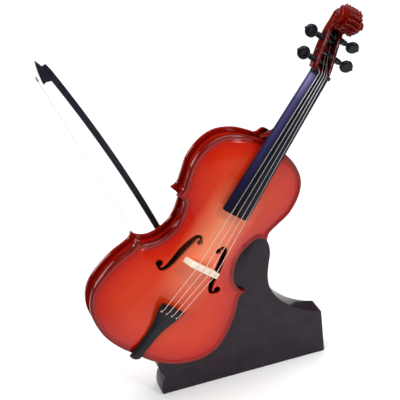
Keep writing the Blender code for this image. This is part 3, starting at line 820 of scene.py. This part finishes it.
# Each station is its height, depth, turn, half width and thickness. The outside faces the
# front at no turn, and down where the narrow end has curled over the body's edge.
TAILPIECE = ((-3.0, 1.9, 96, 1.5, 1.2), (-3.05, 1.3, 90, 2.2, 1.7), (-2.8, 0.0, 78, 2.75, 1.7),
             (-2.2, -1.3, 58, 3.1, 1.5), (-0.8, -2.5, 32, 3.3, 1.2), (1.8, -3.0, 10, 3.4, 1.0),
             (8.0, -3.9, 3, 3.3, 1.1), (17.0, -5.4, 0, 3.6, 1.2), (23.5, -6.6, 0, 4.6, 1.3),
             (28.6, -7.4, 0, 6.2, 1.3), (33.0, -8.2, 0, 7.4, 1.2), (36.6, -8.75, 0, 7.75, 1.0),
             (37.3, -8.7, 0, 7.5, 0.7))


# The power of the curve across the tailpiece's face.
HOLLOW = 2.2


def make_tailpiece():
    rings = []
    for up, top, degrees, half, thick in through(TAILPIECE, 4):
        points = [(-half, 1.3)]
        for k in range(13):
            x = mix(-1.0, 1.0, k / 12)
            points.append((0.97 * half * x, abs(x) ** HOLLOW))
        points += [(half, 1.3), (0.8 * half, 0.9 + thick), (-0.8 * half, 0.9 + thick)]
        turn = math.radians(degrees)
        rings.append([(x, top + math.cos(turn) * inwards, up + math.sin(turn) * inwards)
                      for x, inwards in points])
    body = loft("tailpiece", rings, 34.0)
    cutters = []
    for spot in STRING_SPOTS:
        x = spot * TAIL_SPACING
        cutters.append(lathe("hole", [(-14.0, 0.62), (-2.0, 0.62)], "Y", 16, (x, 0.0, BALL_Z)))
        slot = [(x - 0.3, BALL_Z), (x + 0.3, BALL_Z), (x + 0.3, 35.0), (x - 0.3, 35.0)]
        cutters.append(prism("slot", slot, -14.0, -2.0))
    body = cut(body, cutters, 0.12, 34.0)
    ridge = []
    for k in range(17):
        x = mix(-7.5, 7.5, k / 16)
        ridge.append((x, -8.75 + abs(x / 7.6) ** HOLLOW, 35.9))
    fret = tube("fret", ridge, [0.3] + [0.52] * 15 + [0.3], 10)
    whole = joined("tailpiece", [body, fret], 34.0)
    on_cello("tailpiece_shaped", whole, BLACK, "tailpiece")


STRING_RADIUS = 0.2
COIL_RADIUS = 1.45
COIL_STEPS = 16


def make_strings():
    pegs = (PEGS[0], PEGS[2], PEGS[3], PEGS[1])
    for number, (spot, (_, side, peg_y, peg_z, *_)) in enumerate(zip(STRING_SPOTS, pegs), 1):
        crown = 0.32 * spot * spot
        lift = crown * 0.35
        over_nut = BOARD_NUT_Y - 1.2 + crown * 0.3
        path = [(spot * TAIL_SPACING, -6.9 + lift, 32.3), (spot * TAIL_SPACING, -8.9 + lift, 33.6),
                (spot * 3.52, -9.55 + lift, 35.9),
                (spot * 4.05, BRIDGE_TOP_Y + crown * 0.95 - 0.275, BRIDGE_Z),
                (spot * NUT_SPACING, over_nut, NUT_Z + 0.6),
                (spot * 1.66, over_nut + 0.3, NUT_Z + 2.0),
                (spot * 1.5, peg_y + 0.4, peg_z - 1.5)]
        radii = [STRING_RADIUS] * len(path)
        for k in range(40):
            angle = -math.pi * 0.4 + 2 * math.pi * k / COIL_STEPS
            path.append((spot * 1.5 + side * 0.4 * k / COIL_STEPS,
                         peg_y + COIL_RADIUS * math.cos(angle),
                         peg_z + COIL_RADIUS * math.sin(angle)))
            radii.append(STRING_RADIUS * 0.7)
        ball = lathe("ball", [(-0.55, 0.1), (-0.4, 0.38), (0.0, 0.5), (0.4, 0.38), (0.55, 0.1)],
                     "X", 12, (spot * TAIL_SPACING, -7.7 + lift, BALL_Z))
        whole = joined("string", [tube("wire", path, radii, 8), ball], 50.0)
        on_cello(f"string_{number}_wound", whole, WIRE, f"string_{number}")


# ---- the stand and bow
def stand_outline():
    left = smooth_through([(-50.8, 21.8), (-50.2, 16.4), (-47.6, 11.2)], 10)
    left += smooth_through([(-47.6, 11.2), (-49.2, 8.0), (-50.2, 3.0)], 8)
    left += [(-50.2, 0.5), (-49.7, 0.0)]
    sweep = smooth_through([(49.4, 27.5), (43.5, 29.4), (34.0, 34.6), (25.4, 42.6),
                            (20.6, 51.0), (19.7, 59.0), (20.8, 66.5), (22.4, 74.0),
                            (22.2, 80.0)], 8)
    right = [(49.7, 0.0), (50.2, 0.5), (50.2, 27.0)]
    top = [(21.2, 82.9), (8.0, 94.0), (-6.0, 60.0), (-30.0, 40.0), (-44.0, 26.0)]
    return left + right + sweep + top


def make_stand():
    front = STAND_FRONT + FRONT_EDGE_Y
    back = front + STAND_THICKNESS
    board = prism("stand", stand_outline(), front, back)
    lower, waist, upper = inset_stretches(RIB_INSET - 0.35)
    nest = prism("nest", mirrored(lower[:-1] + waist[:-1] + upper), 0.0, 30.0)
    lower, waist, upper = (smooth_through(points, 9)
                           for points in (LOWER_BOUT, WAIST, UPPER_BOUT))
    rim = mirrored(offset_path(lower + waist + upper + [UPPER_BOUT[-1]], -0.4))
    rebate = prism("rebate", rim, BACK_OUTSIDE - PLATE_EDGE - 0.35, 30.0)
    for cutter in (nest, rebate):
        cutter.transform(CELLO_AT)
    place("stand_board", cut(board, [nest, rebate], bevel=0.45, sharp=30.0, segments=3), LACQUER,
          STAND_AT, "base", ["stand"])

    low = back + GAP
    outline = [(-28.0, 0.0), (2.0, 0.0), (2.0, 22.0), (0.0, 24.0), (-26.0, 24.0), (-28.0, 22.0)]
    block = prism("holder", outline, low, low + 9.0)
    slot = [[(x, y, up) for x, y in ((-8.2, -2.25), (5.4, -2.25), (5.4, 2.25), (-8.2, 2.25))]
            for up in (-0.6, 40.0)]
    cutter = loft("slot", slot)
    cutter.transform(BOW_AT)
    place("bow_holder_block", cut(block, [cutter], bevel=0.45, sharp=30.0, segments=3), LACQUER,
          STAND_AT, "base", ["bow_holder"])


def make_bow():
    path = []
    radii = []
    for k in range(49):
        share = k / 48
        bend = BOW_CAMBER * 4 * share * (1 - share)
        path.append((bend, 0.0, mix(1.6, BOW_LENGTH, share)))
        radii.append(mix(1.4, 1.85, min(share * 2.0, 1.0)))
    radii[-1] = 1.5
    head = [(1.2, 0.4), (1.3, 4.0), (1.2, 9.0), (0.4, 9.6), (-0.8, 9.6), (-1.5, 8.2), (-2.4, 7.1),
            (-4.4, 6.1), (-6.4, 5.3), (-6.9, 4.4), (-6.8, 3.2), (-6.0, 2.4), (-3.6, 1.4),
            (-1.2, 0.5)]
    stick = tube("stick", path, radii, 16)
    tip = cut(prism("tip", head, -1.0, 1.0), [], bevel=0.3)
    place("bow_stick_shaped", joined("bow", [stick, tip]), BOW_BLACK, BOW_AT, "bow",
          ["bow_stick"])

    end = BOW_LENGTH
    concave = through([(0.4, end - 8.6), (-1.6, end - 8.3), (-3.4, end - 7.7),
                       (-4.6, end - 8.0), (-5.1, end - 8.5)], 5)
    outside = through([(-5.25, end - 7.4), (-4.5, end - 2.0), (-3.6, end + 2.0),
                       (-2.9, end + 4.2)], 5)
    dip = through([(-2.3, end + 4.1), (-1.5, end + 2.0), (-1.0, end + 0.4), (-0.6, end - 0.2)], 4)
    outline = concave + outside + dip
    frog = cut(prism("frog", outline, -2.0, 2.0), [], bevel=0.35, segments=3)
    place("bow_frog_shaped", frog, BOW_BLACK, BOW_AT, "bow", ["bow_frog"])
    ferrule = prism("ferrule", [(-7.5, end - 5.4), (-6.1, end - 5.4), (-6.1, end - 3.2),
                                (-7.3, end - 3.2)], -1.6, 1.6)
    place("bow_ferrule_shaped", cut(ferrule, [], bevel=0.5, segments=4), NICKEL, BOW_AT, "bow",
          ["bow_ferrule"])
    rings = []
    for k in range(13):
        up = mix(5.0, end - 5.6, k / 12)
        x = mix(-7.4, -6.8, k / 12)
        rings.append([(x + HAIR_THICK / 2 * u, HAIR_WIDE / 2 * v, up) for u, v in circle(1.0, 16)])
    place("bow_hair_ribbon", loft("hair", rings, 60.0), HAIR, BOW_AT, "bow", ["bow_hair"])


# ---- the materials
# The darkest stain, at the edge itself, which also paints shade black into the holes and the
# plate's inside, and the colour of the painted highlight under the strings.
EDGE_STAIN = ((0.0, (0.012, 0.002, 0.001)), (0.03, (0.10, 0.003, 0.001)))
PAINTED_HIGHLIGHT = (0.97, 0.32, 0.16)
# Painted shade on a rib, from the front plate to the back one: how much of the rib's colour shows,
# darkest under the front plate's overhang.
RIB_SHADE = ((0.0, 0.05), (0.45, 0.12), (0.68, 1.0), (0.85, 0.9), (1.0, 0.4))


def make_varnish(name, tones, kind):
    """Stained wood under gloss varnish, with a fine grain. Tones go from the edge inwards. Plates
    also get a painted highlight under the strings, and ribs get painted shade near both plates.
    """
    carved = kind == "carved"
    paint = Paint(name, tones[-1], 0.45, coat=0.5 if carved else 0.75, coat_roughness=0.04)
    cloud = paint.noise(38.0, 2.0)
    if kind == "plate":
        distance = paint.node("Attribute", attribute_name="edge").outputs["Fac"]
        wobbly = paint.maths("MULTIPLY_ADD", cloud, 0.12, distance)
        stops = [*EDGE_STAIN, *zip((0.12, 0.26, 0.55, 0.95), tones)]
        # The plate's centre line gets a painted highlight under the strings.
        colour = paint.blend("MIX", painted_highlight_under_strings(paint), paint.ramp(wobbly, stops), PAINTED_HIGHLIGHT)
    else:
        colour = paint.ramp(cloud, list(zip((0.3, 0.42, 0.6, 0.75), tones)))
    if kind == "rib":
        # Ribs get painted shade near both plates.
        depth = paint.levels(paint.axes()["Y"], 0.001 * PLATE_EDGE, 0.001 * RIB_BACK)
        colour = paint.blend("MULTIPLY", 1.0, colour, paint.ramp(depth, RIB_SHADE))
    grain = paint.noise(3.0, 4.0, (260.0, 260.0, 9.0))
    lines = paint.ramp(grain, [(0.35, (0.90, 0.84, 0.80)), (0.65, 1.0)])
    paint.drive("Base Color", paint.blend("MULTIPLY", 0.45, colour, lines))
    ripple = paint.bump(paint.noise(260.0, 2.0), 0.04, 0.0004, coat=True)
    if carved:
        paint.bump(paint.noise(420.0, 1.0), 0.4, 0.0010, ripple, coat=True)
    return paint.material


def painted_highlight_under_strings(paint):
    """How much of the painted highlight shows along the centre line, between the tailpiece and the
    board.
    """
    x, _, z = paint.axes()
    near = paint.levels(paint.maths("ABSOLUTE", x), 0.017, 0.002)
    near = paint.maths("MULTIPLY", near, paint.levels(z, 0.036, 0.064))
    return paint.maths("MULTIPLY", near, paint.levels(z, 0.118, 0.100, 0.0, 0.8))


def make_black(name, colour, coat, painted_reflection=False):
    """Gloss black paint over wood, a little uneven, with faint rubbed patches. When asked, it also
    gets a painted violet reflection on the fingerboard's flat, with a painted highlight near the
    nut.
    """
    paint = Paint(name, colour, 0.4, coat=coat, coat_roughness=0.06)
    cloud = paint.noise(120.0, 4.0)
    lighter = tuple(c * 1.9 + 0.004 for c in colour)
    tint = paint.ramp(cloud, [(0.35, colour), (0.8, lighter)])
    if painted_reflection:
        tint = paint.blend("MIX", left_flat(paint), tint, painted_violet_reflection(paint))
    paint.drive("Base Color", tint)
    paint.drive("Roughness", paint.levels(cloud, 0.3, 0.8, 0.32, 0.6))
    paint.bump(paint.noise(420.0, 2.0), 0.12, 0.0003, coat=True)
    return paint.material


# How far the fingerboard's flat moves across for each unit up, as the board narrows.
FLAT_TAPER = -0.0162


def left_flat(paint):
    """Where the painted reflection goes: 1 on the board's top near its left edge, and 0 on its
    side.
    """
    x, _, z = paint.axes()
    top = paint.levels(paint.axes("Normal")["X"], -0.6, -0.35, 0.35, 1.0)
    spot = paint.maths("MULTIPLY_ADD", z, FLAT_TAPER, x)
    return paint.maths("MULTIPLY", top, paint.levels(spot, -0.0046, -0.0084))


def painted_violet_reflection(paint):
    """A painted violet reflection for the board's flat, which pales to a painted highlight towards
    the nut.
    """
    share = paint.levels(paint.axes()["Z"], 0.001 * BOARD_END_Z, 0.001 * NUT_Z)
    return paint.ramp(share, [(0.0, (0.008, 0.007, 0.024)), (0.2, (0.012, 0.011, 0.045)),
                              (0.5, (0.036, 0.034, 0.115)), (0.8, (0.085, 0.082, 0.210)),
                              (0.97, (0.270, 0.245, 0.500))])


def make_maple():
    paint = Paint("bare_maple", (0.93, 0.82, 0.64), 0.5, coat=0.15, coat_roughness=0.3)
    grain = paint.noise(1.6, 4.0, (90.0, 900.0, 900.0))
    flecks = paint.noise(1.3, 2.0, (500.0, 500.0, 1400.0))
    colour = paint.ramp(grain, [(0.3, (0.88, 0.74, 0.54)), (0.6, (0.98, 0.90, 0.76))])
    dots = paint.ramp(flecks, [(0.62, 1.0), (0.72, (0.80, 0.66, 0.48))])
    paint.drive("Base Color", paint.blend("MULTIPLY", 0.5, colour, dots))
    paint.bump(grain, 0.15, 0.0002)
    return paint.material


def make_grained(name, colour, roughness, size, stretch, tones, *bump):
    """A plain material, with one grain for its tones and its bump."""
    paint = Paint(name, colour, roughness)
    grain = paint.noise(size, 3.0, stretch)
    paint.drive("Base Color", paint.ramp(grain, tones))
    paint.bump(grain, *bump)
    return paint.material


def make_wire():
    """Fine wire with its windings showing as a bump, and its colour changing as it rises, as
    painted light and shade: pale over the body, greyer over the board, a painted highlight near
    the nut and painted shade in the pegbox.
    """
    paint = Paint("wound_wire", (0.82, 0.74, 0.66), 0.36, metallic=0.35)
    winding = paint.node("TexWave", wave_type="BANDS", bands_direction="Z")
    winding.inputs["Scale"].default_value = 1.0
    paint.link(paint.place((1.0, 1.0, 2200.0)), winding.inputs["Vector"])
    paint.bump(winding.outputs["Fac"], 0.25, 0.00008)
    worn = paint.ramp(paint.noise(90.0, 3.0), [(0.3, 0.86), (0.7, 1.0)])
    # Painted light and shade along the string by height: a painted highlight near the nut and
    # painted shade inside the pegbox.
    up = paint.levels(paint.axes()["Z"], 0.09, 0.2)
    wire = paint.ramp(up, [(0.0, (1.0, 0.74, 0.62)), (0.2, (0.36, 0.35, 0.39)),
                           (0.6, (0.48, 0.47, 0.52)), (0.87, (0.90, 0.88, 0.98)),
                           (0.93, (0.12, 0.07, 0.06))])
    paint.drive("Base Color", paint.blend("MULTIPLY", 1.0, wire, worn))
    return paint.material


def make_nickel():
    paint = Paint("worn_nickel", (0.62, 0.62, 0.63), 0.25, metallic=1.0)
    scuff = paint.noise(700.0, 4.0)
    paint.drive("Roughness", paint.levels(scuff, 0.3, 0.7, 0.16, 0.42))
    paint.bump(scuff, 0.08, 0.0001)
    return paint.material


VARNISH = make_varnish("red_varnish_face", ((0.24, 0.004, 0.002), (0.53, 0.012, 0.003),
                                            (0.63, 0.026, 0.004), (0.69, 0.040, 0.005)), "plate")
# The ribs' tones are darker than the plates', as painted shade on the ribs' sides.
SHADED_RIB_VARNISH = make_varnish("red_varnish_ribs", ((0.20, 0.003, 0.002), (0.26, 0.004, 0.002),
                                                (0.32, 0.007, 0.003), (0.38, 0.010, 0.003)), "rib")
SCROLL_VARNISH = make_varnish("red_varnish_scroll", ((0.03, 0.001, 0.001), (0.07, 0.002, 0.001),
                                                     (0.15, 0.003, 0.001), (0.27, 0.005, 0.002)),
                              "carved")
BLACK = make_black("black_paint", (0.004, 0.004, 0.007), 0.45)
# The fingerboard's black carries a painted violet reflection and highlight on its flat.
BOARD_BLACK = make_black("black_board_paint", (0.006, 0.005, 0.008), 0.22, painted_reflection=True)
LACQUER = make_black("black_stand_lacquer", (0.010, 0.004, 0.010), 0.55)
BOW_BLACK = make_black("black_bow_paint", (0.010, 0.009, 0.016), 0.4)
MAPLE = make_maple()
# The wood inside the body is darkened as painted shade.
SHADED_SPRUCE = make_grained("inside_spruce_painted_shade", (0.14, 0.08, 0.04), 0.75, 2.0, (500.0, 500.0, 14.0),
                      [(0.35, (0.09, 0.045, 0.02)), (0.65, (0.17, 0.10, 0.05))], 0.25, 0.0003)
WIRE = make_wire()
NICKEL = make_nickel()
HAIR = make_grained("bow_hair", (0.90, 0.89, 0.86), 0.55, 1.0, (4200.0, 4200.0, 6.0),
                    [(0.3, (0.90, 0.89, 0.86)), (0.7, (0.99, 0.99, 0.98))], 0.5, 0.0002)

make_plates()
make_ribs()
make_board()
make_neck()
make_pegs()
make_bridge()
make_tailpiece()
make_strings()
make_stand()
make_bow()
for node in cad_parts.values():
    if not node.hide_render:
        node.material_slots[0].material = SHADED_SPRUCE


# ---- the floor and light
def area_light(name, at, aim, size, energy):
    data = bpy.data.lights.new(name, "AREA")
    data.shape = "RECTANGLE"
    data.size, data.size_y = size
    data.energy = energy
    obj = add_object(name, data)
    obj.location = at
    obj.rotation_euler = (Vector(aim) - Vector(at)).to_track_quat("-Z", "Y").to_euler()
    return obj


# The floor greys towards the front left, by the sum of its X and Y in metres.
FLOOR_WHITE_FROM = -0.125
FLOOR_GREY_FROM = -0.21


def make_stage():
    mesh = bpy.data.meshes.new("floor")
    shape = bmesh.new()
    bmesh.ops.create_grid(shape, x_segments=1, y_segments=1, size=4.0)
    shape.to_mesh(mesh)
    shape.free()
    floor = add_object("floor", mesh)
    floor.location = (0.0, 0.0, -0.0001)
    paint = Paint("pale_floor", (0.93, 0.93, 0.93), 0.9)
    x, y, _ = paint.axes()
    reach = paint.levels(paint.maths("ADD", x, y), FLOOR_GREY_FROM, FLOOR_WHITE_FROM)
    paint.drive("Base Color", paint.ramp(reach, [(0.0, (0.33, 0.33, 0.34)), (1.0, 0.93)]))
    mesh.materials.append(paint.material)

    world = bpy.data.worlds.new("studio")
    world.use_nodes = True
    back = world.node_tree.nodes["Background"]
    back.inputs["Color"].default_value = (1.0, 1.0, 1.0, 1.0)
    back.inputs["Strength"].default_value = 0.12
    bpy.context.scene.world = world
    area_light("overhead", (0.15, 0.1, 1.3), (0.0, 0.0, 0.0), (1.6, 1.6), 25.0)
    area_light("front_right", (0.8, -1.2, 0.9), (0.0, 0.0, 0.08), (0.35, 0.35), 8.0)
    left = area_light("left", (-1.0, -0.6, 0.8), (0.0, 0.0, 0.08), (0.3, 0.3), 7.0)
    left.visible_glossy = False
    area_light("back_left", (-0.8, 1.1, 0.35), (0.0, 0.0, 0.12), (0.6, 0.35), 2.2)


# ---- the camera
AIM = Vector((-0.0156, -0.0095, 0.1196))
AWAY = Vector((-0.2308, -0.8564, 0.4619)).normalized()
DISTANCE = 0.816
ROLL = math.radians(-6.7)
LENS = 135.0


def make_camera():
    data = bpy.data.cameras.new("camera")
    data.sensor_width = 36.0
    data.lens = LENS
    camera = add_object("camera", data)
    level = Vector((-AWAY.y, AWAY.x, 0.0)).normalized()
    upright = AWAY.cross(level)
    right = level * math.cos(ROLL) + upright * math.sin(ROLL)
    up = upright * math.cos(ROLL) - level * math.sin(ROLL)
    turn = Matrix((right, up, AWAY)).transposed()
    camera.matrix_world = Matrix.Translation(AIM + AWAY * DISTANCE) @ turn.to_4x4()
    bpy.context.scene.camera = camera


make_stage()
make_camera()
bpy.context.scene.view_settings.view_transform = "Standard"
